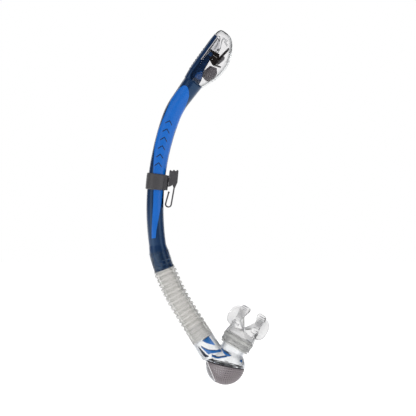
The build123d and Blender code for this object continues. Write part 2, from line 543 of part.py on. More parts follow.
def mouthpiece_parts():
    """The swivel ring, the band and the soft mouthpiece, about the outlet's axis."""
    swivel = ring(SWIVEL_R, OUTLET_R + 0.2, -12, 2.6) + ring(SWIVEL_R + 1.2, OUTLET_R + 0.2, -12, -10.6)
    band = ring(BAND_R, SLEEVE_R, -3, 0.4) + (Pos(19.9, 0, -1.3) * Box(3.0, 4, 3.4) - bar(SLEEVE_R, -5, 5))

    neck = ring(SLEEVE_R, SWIVEL_R, -9.6, 2.6)
    outside = loft([Pos(0, 0, 2.6) * Circle(SLEEVE_R), Pos(0, 0, NECK_TIP) * Ellipse(17.0, 11.5)])
    inside = loft([Pos(0, 0, 2.6) * Circle(SWIVEL_R), Pos(0, 0, NECK_TIP) * Ellipse(14.8, 9.3)])
    form = Cylinder(SHIELD_R, 60) - Cylinder(SHIELD_R - SHIELD_THICK, 61)
    plan = Rectangle(2 * LOBE_X, 22)
    plan += Pos(LOBE_X, 0, 0) * Circle(LOBE_R) + Pos(-LOBE_X, 0, 0) * Circle(LOBE_R)
    outline = extrude(plan, amount=36)
    shield = (Pos(0, 0, SHIELD_Z) * Rot(90, 0, 0) * form & outline) - Pos(0, LOBE_X, 15) * Box(7, 7, 40)
    tabs = []
    for side in (-1, 1):
        leaf = Pos(side * 17.5, 0, 28.5) * Rot(0, side * -8, 0) * Box(2.2, 9, 23)
        block = Pos(side * 16.2, 0, 36.0) * Rot(0, side * -8, 0) * Box(4.6, 14, 8)
        tabs.append(leaf + block)
    body = neck + outside + shield + tabs[0] + tabs[1]
    body -= inside
    throat = loft([Pos(0, 0, NECK_TIP - 0.1) * Ellipse(14.8, 9.3), Pos(0, 0, 20) * Ellipse(13.5, 8.5)])
    body -= throat & bar(40, 12, 20)
    turned = MOUTH * Rot(0, 0, MOUTH_TURN)
    return {"swivel_ring": MOUTH * swivel, "clamp_band": turned * band, "mouthpiece": turned * body}


# ---- everything ----

def build_all():
    """Every node by name."""
    nodes = dict(barrel_parts())
    for name, shape in {**head_parts(), **float_and_flap()}.items():
        nodes[name] = HEAD * shape
    nodes.update(keeper_parts())
    nodes["flex_tube"] = flex_tube()
    nodes["lower_chamber"] = lower_chamber()
    nodes["inner_frame"] = inner_frame()
    nodes.update(purge_parts())
    nodes.update(mouthpiece_parts())
    return nodes


os.makedirs("parts", exist_ok=True)
for node_name, node_shape in build_all().items():
    export_step(node_shape, f"parts/{node_name}.step")
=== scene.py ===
import json
import math

import bmesh
import bpy
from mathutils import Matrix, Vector


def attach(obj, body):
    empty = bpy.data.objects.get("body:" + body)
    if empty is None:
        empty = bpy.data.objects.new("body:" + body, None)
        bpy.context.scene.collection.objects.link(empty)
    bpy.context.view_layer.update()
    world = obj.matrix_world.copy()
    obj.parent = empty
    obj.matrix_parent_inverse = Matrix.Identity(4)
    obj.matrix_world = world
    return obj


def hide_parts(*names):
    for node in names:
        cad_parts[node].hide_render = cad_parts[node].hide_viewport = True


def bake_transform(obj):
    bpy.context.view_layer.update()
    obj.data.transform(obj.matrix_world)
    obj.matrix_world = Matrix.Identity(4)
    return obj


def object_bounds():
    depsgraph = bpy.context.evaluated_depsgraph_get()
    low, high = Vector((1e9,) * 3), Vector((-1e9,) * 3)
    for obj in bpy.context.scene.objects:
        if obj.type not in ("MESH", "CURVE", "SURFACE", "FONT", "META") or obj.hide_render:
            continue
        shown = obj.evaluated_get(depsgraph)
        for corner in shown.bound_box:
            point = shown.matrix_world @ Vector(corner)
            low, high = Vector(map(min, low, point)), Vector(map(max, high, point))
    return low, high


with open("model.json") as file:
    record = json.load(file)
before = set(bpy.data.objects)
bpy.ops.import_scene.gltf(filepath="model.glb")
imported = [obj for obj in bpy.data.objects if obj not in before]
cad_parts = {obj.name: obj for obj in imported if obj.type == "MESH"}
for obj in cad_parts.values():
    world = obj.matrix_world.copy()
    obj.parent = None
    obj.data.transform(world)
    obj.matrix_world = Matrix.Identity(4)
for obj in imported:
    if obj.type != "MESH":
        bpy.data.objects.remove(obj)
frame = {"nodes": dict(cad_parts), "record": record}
cad_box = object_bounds()

# Every length below is in millimetres, in the frame's own directions, until MM turns it into metres.
MM = 0.001
ACROSS = Vector((0, 1, 0))


# ---- frames and centre lines that the pieces are built on ----

def lean(angle):
    """The direction in the snorkel's plane that leans by angle degrees from straight up towards +X."""
    return Vector((math.sin(math.radians(angle)), 0, math.cos(math.radians(angle))))


def round_angles(count):
    """Angles in radians that divide a full turn evenly."""
    return [2 * math.pi * k / count for k in range(count)]


def squared(value, power):
    """A sine or cosine pushed towards its limits, which squares up the corners of an oval."""
    return math.copysign(abs(value) ** power, value)


class Place:
    """A local frame: x forward, y the snorkel's own Y (turned about z by turn), z along axis."""

    def __init__(self, origin, angle, turn=0.0):
        self.origin = Vector((origin[0], 0, origin[1]))
        self.z = lean(angle)
        side = lean(angle + 90)
        t = math.radians(turn)
        self.x = side * math.cos(t) + ACROSS * math.sin(t)
        self.y = ACROSS * math.cos(t) - side * math.sin(t)

    def at(self, x, y, z):
        """The point of the whole frame at x, y, z of this one."""
        return self.origin + self.x * x + self.y * y + self.z * z


HEAD = Place((12.762, 122.486), 36.0)
RIM = Place((69.603, -207.433), 12.5)
MOUTH = Place((85.9, -175.4), 30.33, 45.0)
BOWL = Vector((69.3, 0, -208.8))
BOWL_R = 24.4

FLEX_TOP = Vector((-14.091, 0, -66.647))
SPIGOT_LENGTH, FLEX_ARC, FLEX_STRAIGHT = 24.0, 53.58, 45.0
FLEX_LENGTH = SPIGOT_LENGTH + FLEX_ARC + FLEX_STRAIGHT
FLEX_STEP = 0.25
FLEX_LEAN, SPIGOT_TURN, ARC_TURN = 14.0, 7.0, 11.0


def flex_stations():
    """Centre and direction down the flexible tube, every FLEX_STEP."""
    stations, place, angle = [], FLEX_TOP.copy(), FLEX_LEAN
    for index in range(int(FLEX_LENGTH / FLEX_STEP) + 1):
        stations.append((place.copy(), lean(180 - angle)))
        along = index * FLEX_STEP
        if along < SPIGOT_LENGTH:
            turn = SPIGOT_TURN / SPIGOT_LENGTH
        elif along < SPIGOT_LENGTH + FLEX_ARC:
            turn = ARC_TURN / FLEX_ARC
        else:
            turn = 0.0
        place += lean(180 - angle - turn * FLEX_STEP / 2) * FLEX_STEP
        angle += turn * FLEX_STEP
    return stations


def spline(knots, x):
    """A smooth curve through (x, y) knots, level with the straight runs at its ends."""
    if x <= knots[0][0]:
        return knots[0][1]
    if x >= knots[-1][0]:
        return knots[-1][1]
    last = len(knots) - 1
    i = max(k for k in range(last) if knots[k][0] <= x)

    def slope(k):
        a, b = knots[max(k - 1, 0)], knots[min(k + 1, last)]
        return (b[1] - a[1]) / (b[0] - a[0])

    (x0, y0), (x1, y1) = knots[i], knots[i + 1]
    w = x1 - x0
    t = (x - x0) / w
    return (y0 * (2 * t**3 - 3 * t**2 + 1) + y1 * (3 * t**2 - 2 * t**3)
            + slope(i) * w * (t**3 - 2 * t**2 + t) + slope(i + 1) * w * (t**3 - t**2))


# ---- materials ----

MOTTLE_SCALE, MOTTLE_DETAIL, MOTTLE_BAND = 60, 4, (0.3, 0.7)
ROUGHNESS_DRIFT = (0.75, 1.3)
GRAIN_DETAIL, GRAIN_HEIGHT = 3, 0.0002
# How the clear finishes turn from their face colour to the painted shade of their edges.
EDGE_SHADE_BAND = (0.12, 0.85)


def noise(tree, coords, scale, detail):
    """The value of a noise texture in the piece's own space."""
    texture = tree.nodes.new("ShaderNodeTexNoise")
    texture.inputs["Scale"].default_value = scale
    texture.inputs["Detail"].default_value = detail
    tree.links.new(coords.outputs["Object"], texture.inputs["Vector"])
    return texture.outputs["Fac"]


def blended_color(tree, driver, band, low, high):
    """A colour that goes from low to high while the driver crosses a band."""
    ramp = tree.nodes.new("ShaderNodeValToRGB")
    for k, (position, color) in enumerate(zip(band, (low, high))):
        ramp.color_ramp.elements[k].position = position
        ramp.color_ramp.elements[k].color = (*color, 1)
    tree.links.new(driver, ramp.inputs["Fac"])
    return ramp.outputs["Color"]


def material(name, color, roughness, grain=(0, 0), mottle=0.0, **sockets):
    """A moulded finish: fine grain in the bump, and roughness and colour that drift a little."""
    made = bpy.data.materials.new(name)
    made.use_nodes = True
    tree = made.node_tree
    shader = tree.nodes["Principled BSDF"]
    shader.inputs["Base Color"].default_value = (*color, 1)
    for key, value in sockets.items():
        shader.inputs[key.replace("_", " ")].default_value = value
    coords = tree.nodes.new("ShaderNodeTexCoord")
    drift = noise(tree, coords, MOTTLE_SCALE, MOTTLE_DETAIL)
    rough = tree.nodes.new("ShaderNodeMapRange")
    rough.inputs["To Min"].default_value = roughness * ROUGHNESS_DRIFT[0]
    rough.inputs["To Max"].default_value = roughness * ROUGHNESS_DRIFT[1]
    tree.links.new(drift, rough.inputs["Value"])
    tree.links.new(rough.outputs["Result"], shader.inputs["Roughness"])
    if mottle:
        dark = [c * (1 - mottle) for c in color]
        light = [min(c * (1 + mottle), 1) for c in color]
        tint = blended_color(tree, drift, MOTTLE_BAND, dark, light)
        tree.links.new(tint, shader.inputs["Base Color"])
    grain_scale, grain_strength = grain
    if grain_scale:
        bump = tree.nodes.new("ShaderNodeBump")
        bump.inputs["Strength"].default_value = grain_strength
        bump.inputs["Distance"].default_value = GRAIN_HEIGHT
        tree.links.new(noise(tree, coords, grain_scale, GRAIN_DETAIL), bump.inputs["Height"])
        tree.links.new(bump.outputs["Normal"], shader.inputs["Normal"])
    return made


def clear(name, face, edge, roughness, through=1.0, **options):
    """A clear finish that darkens towards its edges seen along the wall: partly the wall's own tint over a longer
    path, partly painted shade.
    """
    made = material(name, face, roughness, Transmission_Weight=through, **options)
    tree = made.node_tree
    weight = tree.nodes.new("ShaderNodeLayerWeight")
    weight.inputs["Blend"].default_value = 0.5
    # The edge colour is painted shade where the wall is seen edge-on.
    tint = blended_color(tree, weight.outputs["Facing"], EDGE_SHADE_BAND, face, edge)
    tree.links.new(tint, tree.nodes["Principled BSDF"].inputs["Base Color"])
    return made


BLUISH = (0.5, 0.75, 1.0, 1.0)
NAVY = material("navy", (0.0045, 0.019, 0.062), 0.22, grain=(900, 0.06), mottle=0.12,
                Specular_Tint=BLUISH, Specular_IOR_Level=0.6)
# A darker, less glossy copy of the navy: painted shade, for the frame inside the head, the dark block in the lower
# housing and the rim's lower run.
NAVY_SHADED = material("navy_painted_shade", (0.002, 0.011, 0.04), 0.35, grain=(700, 0.04), mottle=0.15,
                      Specular_Tint=BLUISH, Specular_IOR_Level=0.12)
PIVOT_BLUE = material("pivot_blue", (0.001, 0.045, 0.19), 0.35, grain=(1200, 0.1), mottle=0.1,
                      Specular_IOR_Level=0.2)
STRIPE = material("stripe", (0.0, 0.10, 0.42), 0.32, grain=(1500, 0.1), mottle=0.05,
                  Specular_IOR_Level=0.3)
MARK = material("mark", (0.001, 0.002, 0.008), 0.3, grain=(1500, 0.2), mottle=0.2)
BLACK = material("black", (0.006, 0.004, 0.004), 0.42, grain=(800, 0.06), mottle=0.2,
                 Specular_IOR_Level=0.1)
FLOAT = material("float", (0.052, 0.045, 0.052), 0.6, grain=(800, 0.08), mottle=0.1,
                 Specular_IOR_Level=0.15)
WEIGHT = material("weight", (0.072, 0.068, 0.074), 0.6, grain=(800, 0.08), mottle=0.1,
                  Specular_IOR_Level=0.15)
KEEPER_GREY = material("keeper", (0.04, 0.038, 0.042), 0.4, grain=(1800, 0.3), mottle=0.1)
FRAME_BLUE = material("frame_blue", (0.004, 0.13, 0.42), 0.25, grain=(1200, 0.15), mottle=0.08)
COVER = material("cover", (0.19, 0.165, 0.175), 0.4, grain=(1500, 0.25), mottle=0.1)
DARK_SEAL = material("seal", (0.022, 0.02, 0.024), 0.45, grain=(1500, 0.2), mottle=0.15,
                     Specular_IOR_Level=0.2)
NAVY_PANEL = material("navy_panel", (0.004, 0.035, 0.13), 0.4, grain=(700, 0.05), mottle=0.1,
                      Specular_IOR_Level=0.1)
# A light grey line for the cap's upper rim: painted highlight.
RIM_HIGHLIGHT = material("rim_painted_highlight", (0.36, 0.35, 0.36), 0.25, grain=(1200, 0.1), mottle=0.1)
# The second colour of each clear finish is the painted shade along its edges.
CAP = clear("cap", (0.925, 0.92, 0.925), (0.26, 0.28, 0.29), 0.03, IOR=1.3)
HOUSING = clear("housing", (0.84, 0.845, 0.85), (0.16, 0.18, 0.22), 0.05, IOR=1.32)
SILICONE = clear("silicone", (0.85, 0.845, 0.845), (0.40, 0.41, 0.42), 0.14, IOR=1.25,
                 grain=(700, 0.1), through=0.86)
SOFT_RING = clear("soft_ring", (0.82, 0.82, 0.80), (0.44, 0.45, 0.45), 0.16, IOR=1.25,
                  grain=(700, 0.1), through=0.7)
MILKY = clear("milky_silicone", (0.80, 0.79, 0.77), (0.46, 0.46, 0.45), 0.22, IOR=1.28,
              grain=(700, 0.12), through=0.8)
CUFF_CLEAR = clear("cuff_silicone", (0.93, 0.93, 0.925), (0.55, 0.57, 0.60), 0.08, IOR=1.2,
                   grain=(700, 0.06))
BITE_GREY = clear("bite_ribs", (0.22, 0.22, 0.26), (0.08, 0.08, 0.11), 0.3, IOR=1.3,
                  grain=(900, 0.3), through=0.7)
# The cap's ribs: its clear plastic tinted darker, painted shade for the dark lines its inner walls make.
CAP_LINE_SHADE = clear("cap_line_painted_shade", (0.52, 0.53, 0.54), (0.22, 0.23, 0.25), 0.1, IOR=1.35, through=0.9)
SEAT_CLEAR = clear("seat_clear", (0.80, 0.80, 0.81), (0.30, 0.31, 0.34), 0.06, IOR=1.3)
# Near black for the cap's slots: painted shade in place of holes.
CAP_SLOT_SHADE = material("cap_slot_painted_shade", (0.05, 0.045, 0.05), 0.4, grain=(1500, 0.2), mottle=0.1)

BY_SLOT = {
    "navy": NAVY, "stripe_blue": STRIPE, "mark_black": MARK, "clear_cap": CAP, "lever_black": BLACK,
    "float_grey": FLOAT, "seal_silicone": DARK_SEAL, "keeper_grey": KEEPER_GREY, "clear_silicone": SILICONE,
    "clear_housing": HOUSING, "frame_blue": FRAME_BLUE, "cover_grey": COVER,
}
# The valve frame inside the head takes the darker navy of painted shade.
BY_NODE = {
    "valve_frame": NAVY_SHADED, "valve_seat": SEAT_CLEAR, "purge_seat": HOUSING, "swivel_ring": SOFT_RING,
    "clamp_band": SOFT_RING,
}
# The shells that show what is inside them. Left in shadows and indirect light, they leave the parts
# inside speckled, so those parts are lit as if the shells weren't there.
SHELLS = (CAP, HOUSING, CAP_LINE_SHADE)
SLOT_OF = {part["node"]: part["material_slot"] for part in frame["record"]["subparts"]}
for node_name, slot_name in SLOT_OF.items():
    node = frame["nodes"][node_name]
    node.data.materials.clear()
    node.data.materials.append(BY_NODE.get(node_name, BY_SLOT[slot_name]))


# ---- mesh helpers ----

def add_object(name, data):
    """A new object in the scene."""
    made = bpy.data.objects.new(name, data)
    bpy.context.scene.collection.objects.link(made)
    return made


def new_piece(name, points, faces):
    """An object in metres from points in millimetres."""
    mesh = bpy.data.meshes.new(name)
    mesh.from_pydata([tuple(p * MM) for p in points], [], faces)
    mesh.validate()
    return add_object(name, mesh)


def settle(piece, body, nodes, finish, slot, smooth=40):
    """Give a piece its body, the CAD nodes it stands for, its finish and its shading."""
    piece.data.materials.clear()
    piece.data.materials.append(finish)
    for face in piece.data.polygons:
        face.use_smooth = True
    if smooth:
        piece.data.set_sharp_from_angle(angle=math.radians(smooth))
    if finish in SHELLS:
        piece.visible_shadow = piece.visible_diffuse = piece.visible_glossy = False
    if nodes:
        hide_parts(*nodes)
    if body:
        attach(piece, body)
    return piece


def skin(rings, looped=False, capped=False):
    """Points and quads through rings of equal count, closed round each ring."""
    count = len(rings[0])
    points = [p for ring in rings for p in ring]
    faces = []
    for i in range(len(rings) if looped else len(rings) - 1):
        a, b = i * count, (i + 1) % len(rings) * count
        faces += [(a + j, a + (j + 1) % count, b + (j + 1) % count, b + j) for j in range(count)]
    if capped:
        faces.append(tuple(reversed(range(count))))
        faces.append(tuple(range(len(points) - count, len(points))))
    return points, faces


def face_out(piece):
    """Point every face of a closed mesh outwards."""
    work = bmesh.new()
    work.from_mesh(piece.data)
    bmesh.ops.recalc_face_normals(work, faces=work.faces)
    work.to_mesh(piece.data)
    work.free()


def bake(piece):
    """Apply a piece's modifiers to its mesh."""
    done = bpy.data.meshes.new_from_object(piece.evaluated_get(bpy.context.evaluated_depsgraph_get()))
    piece.modifiers.clear()
    piece.data = done


def drop(*pieces):
    """Delete objects that only helped to make others."""
    for piece in pieces:
        bpy.data.objects.remove(piece)


def merged(name, parts):
    """One object from several (points, faces) lists."""
    points, faces = [], []
    for part_points, part_faces in parts:
        base = len(points)
        points += part_points
        faces += [tuple(base + v for v in face) for face in part_faces]
    return new_piece(name, points, faces)


def closed_piece(name, *parts):
    """One object from closed (points, faces) lists, with every face pointing outwards."""
    piece = merged(name, parts)
    face_out(piece)
    return piece


def tube(path, radius, sides=12):
    """Points and faces of a round bar along a list of points, with closed ends.

    The radius is one number, or a list with one for each point.
    """
    rings = []
    side = None
    for i, p in enumerate(path):
        ahead = (path[min(i + 1, len(path) - 1)] - path[max(i - 1, 0)]).normalized()
        side = ahead.orthogonal() if side is None else side - ahead * side.dot(ahead)
        side = side.normalized()
        up = ahead.cross(side)
        r = radius[i] if isinstance(radius, list) else radius
        rings.append([p + side * math.cos(t) * r + up * math.sin(t) * r for t in round_angles(sides)])
    return skin(rings, capped=True)


def prism(outline, low, high, place=None):
    """Points and faces of a block across the snorkel, from low to high in y, from corners (x, z)."""
    at = place.at if place else (lambda x, y, z: Vector((x, y, z)))
    count = len(outline)
    points = [at(x, y, z) for y in (low, high) for x, z in outline]
    faces = [tuple(reversed(range(count))), tuple(range(count, 2 * count))]
    faces += [(k, (k + 1) % count, count + (k + 1) % count, count + k) for k in range(count)]
    return points, faces


def soften(piece, width, segments=2):
    """Round a piece's sharp edges."""
    soft = piece.modifiers.new("soft_edges", "BEVEL")
    soft.width = width * MM
    soft.segments = segments
    bake(piece)


def one_skin(piece, voxel, rounds):
    """Melt a piece's overlapping parts into one smooth skin."""
    remesh = piece.modifiers.new("one_skin", "REMESH")
    remesh.mode = "VOXEL"
    remesh.voxel_size = voxel * MM
    smooth = piece.modifiers.new("smooth", "SMOOTH")
    smooth.factor = 0.5
    smooth.iterations = rounds
    bake(piece)


def thicken(piece, thickness):
    """Give an open skin a wall on its inner side."""
    wall = piece.modifiers.new("wall", "SOLIDIFY")
    wall.thickness = thickness * MM
    wall.offset = -1
    bake(piece)


# ---- flexible tube ----

RING_PITCH, RING_DEPTH = 6.1, 2.1
RINGS_FROM, FULL_RINGS = SPIGOT_LENGTH + 1.0, 12
FADING_RINGS = (0.7, 0.45, 0.2)
CREST_SHARE, GROOVE_SIDE = 0.42, 0.4
# The wall's radius at lengths along the tube, before the rings are pressed into it.
FLEX_OUTSIDE = [(0, 12.5), (1.2, 12.8), (2.6, 12.6), (12, 13.0), (SPIGOT_LENGTH - 2, 13.0),
                (RINGS_FROM, 14.3)]
FLEX_BORE = [(0, 10.2), (SPIGOT_LENGTH, 10.2), (SPIGOT_LENGTH + 2, 9.9), (100, 9.9), (102, 10.85),
             (123, 10.85)]
BORE_RING_DEPTH = 0.35
FLEX_SIDES = 96


def ring_height(along):
    """How far the tube's wall stands out along the rings, from 0 in a groove to 1 on a crest."""
    place = (along - RINGS_FROM) / RING_PITCH
    index = math.floor(place)
    if index < 0 or index >= FULL_RINGS + len(FADING_RINGS):
        return 1.0
    strength = 1.0 if index < FULL_RINGS else FADING_RINGS[index - FULL_RINGS]
    from_crest = abs(place - index - 0.5) * 2
    sunk = min(max((from_crest - CREST_SHARE) / GROOVE_SIDE, 0), 1)
    return 1 - strength * sunk ** 2 * (3 - 2 * sunk)


def flex_wall(along):
    """Outer and inner radius of the flexible tube."""
    sunk = 1 - ring_height(along)
    return spline(FLEX_OUTSIDE, along) - RING_DEPTH * sunk, spline(FLEX_BORE, along) - BORE_RING_DEPTH * sunk


def build_flex():
    """The ringed tube as one wall, with a clearer cuff where it grips the barrel's spigot."""
    stations = flex_stations()
    profile = [(i, flex_wall(i * FLEX_STEP)) for i in range(0, len(stations), 2)]
    loop = [(i, wall[0]) for i, wall in profile] + [(i, wall[1]) for i, wall in reversed(profile)]
    rings = []
    for index, radius in loop:
        centre, direction = stations[index]
        side = ACROSS.cross(direction).normalized()
        rings.append([centre + (side * math.cos(t) + ACROSS * math.sin(t)) * radius
                      for t in round_angles(FLEX_SIDES)])
    piece = closed_piece("flex_tube_rings", skin(rings, looped=True))
    settle(piece, None, ["flex_tube"], MILKY, "clear_silicone", smooth=60)
    piece.data.materials.append(CUFF_CLEAR)
    for face in piece.data.polygons:
        on_spigot = loop[face.index // FLEX_SIDES][0] * FLEX_STEP < SPIGOT_LENGTH - 1
        face.material_index = int(on_spigot)
    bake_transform(piece)


build_flex()


# ---- purge cover: a dome drilled all over ----

# DOME_CELLS is even, so that whole cells end at the rim.
DOME_R, DOME_WALL, DOME_CELLS, DOME_HOLE = 24.0, 1.1, 12, 0.62
# The points round one cell, in steps of the grid from its first corner.
CELL_EDGE = [(0, 0), (1, 0), (2, 0), (2, 1), (2, 2), (1, 2), (0, 2), (0, 1)]
SAME_POINT = 0.004


def dome_grid(face):
    """Directions over one face of the cube-mapped dome: the floor, or the half of a side below the rim."""
    n = 2 * DOME_CELLS
    rows = n if face == 0 else n // 2
    grid = []
    for j in range(rows + 1):
        row = []
        for i in range(n + 1):
            a = math.tan((i / n * 2 - 1) * math.pi / 4)
            b = math.tan((j / n * 2 - 1) * math.pi / 4)
            spots = [(a, -b, -1), (a, 1, b), (-a, -1, b), (1, -a, b), (-1, a, b)]
            row.append(Vector(spots[face]).normalized())
        grid.append(row)
    return grid


def add_cell(work, grid, made, i, j, drilled):
    """One cell of the dome's grid: faces round its hole, and one over the hole if it isn't drilled."""
    outer = [made[j + y][i + x] for x, y in CELL_EDGE]
    middle = grid[j + 1][i + 1]
    rim = []
    for (x, y), vert in zip(CELL_EDGE, outer):
        reach = DOME_HOLE / math.hypot(x - 1, y - 1)
        rim.append(work.verts.new(middle.lerp(vert.co, reach).normalized()))
    count = len(CELL_EDGE)
    for k in range(count):
        work.faces.new((outer[k], outer[(k + 1) % count], rim[(k + 1) % count], rim[k]))
    if not drilled:
        work.faces.new(rim)


def build_dome():
    """The purge cover, drilled all over except for the row of cells at its rim."""
    work = bmesh.new()
    for face in range(5):
        grid = dome_grid(face)
        made = [[work.verts.new(d) for d in row] for row in grid]
        for j in range(0, len(grid) - 1, 2):
            for i in range(0, len(grid[0]) - 1, 2):
                at_rim = j + 3 > len(grid) and face > 0
                add_cell(work, grid, made, i, j, drilled=not at_rim)
        for row in made:
            for vert in row:
                if not vert.link_faces:
                    work.verts.remove(vert)
    bmesh.ops.remove_doubles(work, verts=work.verts, dist=SAME_POINT)
    for vert in work.verts:
        d = vert.co.normalized()
        spot = BOWL + (RIM.x * d.x + RIM.y * d.y + RIM.z * d.z) * DOME_R
        vert.co = spot * MM
    mesh = bpy.data.meshes.new("purge_dome")
    work.to_mesh(mesh)
    work.free()
    piece = add_object("purge_dome", mesh)
    face_out(piece)
    thicken(piece, DOME_WALL)
    face_out(piece)
    settle(piece, "lower_unit", ["purge_cover"], COVER, "cover_grey", smooth=35)


build_dome()


# ---- mouthpiece: sleeve, saddle-shaped lip shield and bite tabs in one soft skin ----

SLEEVE_R, SLEEVE_WALL, SLEEVE_LOW, SLEEVE_HIGH = 19.4, 2.0, -9.6, 2.6
THROAT = (19.8, 14.6)
SHIELD_R, SHIELD_THICK, SHIELD_Z, SADDLE = 28.0, 1.9, 39.5, 0.017
# The shield's half width at distances along its curve, and how far along it ends.
SHIELD_EDGE = [(0, 12.0), (8, 14.2), (14, 16.6), (20, 17.4), (26, 16.2), (32, 13.6), (36, 11.4), (39, 8.0),
               (41, 3.5)]
SHIELD_END = 41.4
SIDES = 96
NECK_STEPS, SHIELD_STEPS = 8, 14
# The bead round the shield: where it starts and ends, and how far it stands out on each face.
BEAD_FROM, BEAD_TO, BEAD_LOW, BEAD_HIGH = 0.86, 0.97, 0.25, 0.45
# Rows of a bite tab: height, distance from the middle, half thickness and half width.
TAB_ROWS = [(14.5, 20.6, 2.6, 6.5), (18, 19.2, 1.5, 5.2), (24, 18.4, 1.3, 5.2), (30, 17.6, 1.5, 6.0),
            (33, 17.1, 2.6, 7.0), (37, 16.6, 2.9, 7.4), (39.6, 16.3, 2.4, 6.8), (40.6, 16.2, 1.0, 5.0)]
TAB_SIDES, TAB_POWER = 32, 0.6
TAB_FACE = [(26, 19.3), (30, 19.4), (33, 19.9), (37, 19.8), (40, 19.2)]
RIB_COUNT, RIB_FROM, RIB_PITCH = 7, 26.6, 2.15
RIB_WIDTHS, RIB_RADII = (-5.6, -2.8, 0, 2.8, 5.6), [0.2, 0.35, 0.4, 0.35, 0.2]


def shield_point(s, y, lift):
    """A point of the lip shield s along its curve and y across it, lifted towards the lips."""
    bend = s / SHIELD_R
    r = SHIELD_R - lift
    return MOUTH.at(r * math.sin(bend), y, SHIELD_Z - r * math.cos(bend) - SADDLE * y * y)


def shield_outline():
    """The shield's edge as (s, y), once round."""
    quarter = SHIELD_EDGE + [(SHIELD_END, 0.0)]
    right = quarter + [(s, -y) for s, y in reversed(quarter[:-1])]
    left = [(-s, y) for s, y in reversed(quarter[:-1])]
    lower_left = [(-s, -y) for s, y in quarter[1:-1]]
    loop = right + lower_left + [(-quarter[-1][0], 0.0)] + left[:-1]
    return [loop_point(loop, k / SIDES) for k in range(SIDES)]


def loop_point(loop, share):
    """The point a share of the way round a closed loop of (x, y), by length, smoothed."""
    count = len(loop)
    lengths = [math.dist(loop[i], loop[(i + 1) % count]) for i in range(count)]
    target, i = share * sum(lengths), 0
    while target > lengths[i]:
        target -= lengths[i]
        i += 1
    t = target / lengths[i]
    before, a, b, after = (loop[(i + k) % count] for k in (-1, 0, 1, 2))
    spot = []
    for p, q, r, s in zip(before, a, b, after):
        spot.append(q + 0.5 * t * (r - p + t * (2 * p - 5 * q + 4 * r - s + t * (3 * (q - r) + s - p))))
    return tuple(spot)


def oval(wide, deep, angle):
    """The point of an oval at an angle."""
    return wide * math.cos(angle), deep * math.sin(angle)


def bite_tab(side):
    """Points and faces of the bite tab on one side, -1 or 1."""
    rows = []
    for z, x, thick, wide in TAB_ROWS:
        rows.append([MOUTH.at(side * x + thick * squared(math.cos(t), TAB_POWER),
                              wide * squared(math.sin(t), TAB_POWER), z) for t in round_angles(TAB_SIDES)])
    return skin(rows, capped=True)


def tab_ribs(side):
    """Points and faces of the ribs on the outer face of one bite tab."""
    ribs = []
    for rib in range(RIB_COUNT):
        z = RIB_FROM + rib * RIB_PITCH
        x = side * spline(TAB_FACE, z)
        ribs.append(tube([MOUTH.at(x, y, z) for y in RIB_WIDTHS], RIB_RADII, sides=10))
    return ribs


def build_mouthpiece():
    """Sleeve, neck, lip shield and bite tabs as one soft skin, and the ribs on the tabs."""
    edge = shield_outline()
    angles = [math.atan2(y * THROAT[0], s * THROAT[1]) for s, y in edge]

    def sleeve_ring(radius, z):
        """One ring of the round sleeve."""
        return [MOUTH.at(*oval(radius, radius, angle), z) for angle in angles]

    def neck_ring(wall, share):
        """One ring of the neck: round at the sleeve, oval and saddle-shaped where it meets the shield."""
        ring = []
        for angle in angles:
            x0, y0 = oval(SLEEVE_R - wall, SLEEVE_R - wall, angle)
            x1, y1 = oval(THROAT[0] - wall, THROAT[1] - wall, angle)
            top = SHIELD_Z - math.sqrt(SHIELD_R**2 - x1**2) - SADDLE * y1 * y1 + 0.7
            ease = share * share * (3 - 2 * share)
            x, y = x0 + (x1 - x0) * ease, y0 + (y1 - y0) * ease
            ring.append(MOUTH.at(x, y, SLEEVE_HIGH + (top - SLEEVE_HIGH) * share))
        return ring

    def shield_ring(share, lift):
        """One ring of the shield, from the throat at 0 to its edge at 1."""
        ring = []
        for (s, y), angle in zip(edge, angles):
            x0, y0 = oval(THROAT[0] - SLEEVE_WALL, THROAT[1] - SLEEVE_WALL, angle)
            s0 = SHIELD_R * math.asin(x0 / SHIELD_R)
            ring.append(shield_point(s0 + (s - s0) * share, y0 + (y - y0) * share, lift))
        return ring

    neck_shares = [k / NECK_STEPS for k in range(1, NECK_STEPS + 1)]
    beads = [(SLEEVE_LOW, 0.0), (-9.2, 0.45), (-8.4, 0.45), (-7.8, 0.0), (-3.6, 0.0), (SLEEVE_HIGH - 1, 0.0),
             (SLEEVE_HIGH - 0.4, 0.35), (SLEEVE_HIGH, 0.0)]
    outside = [sleeve_ring(SLEEVE_R + rise, z) for z, rise in beads]
    outside += [neck_ring(0, share) for share in neck_shares]
    inside = [sleeve_ring(SLEEVE_R - SLEEVE_WALL, z) for z in (SLEEVE_LOW, SLEEVE_HIGH)]
    inside += [neck_ring(SLEEVE_WALL, share) for share in neck_shares]
    neck = skin(outside + inside[::-1], looped=True)

    low, high = [], []
    for k in range(SHIELD_STEPS + 1):
        share = k / SHIELD_STEPS
        beaded = BEAD_FROM < share < BEAD_TO
        low.append(shield_ring(share, -BEAD_LOW if beaded else 0))
        high.append(shield_ring(share, SHIELD_THICK + (BEAD_HIGH if beaded else 0)))
    shield = skin(low + high[::-1], looped=True)

    piece = closed_piece("mouthpiece_skin", neck, shield, bite_tab(-1), bite_tab(1))
    one_skin(piece, voxel=0.55, rounds=6)
    settle(piece, "mouthpiece_unit", ["mouthpiece"], SILICONE, "clear_silicone", smooth=0)
    grip = closed_piece("bite_ribs", *tab_ribs(-1), *tab_ribs(1))
    settle(grip, "mouthpiece_unit", None, BITE_GREY, "clear_silicone")


build_mouthpiece()


# ---- lower chamber: one clear moulding, its inlet spigot and the blue pieces inside it ----

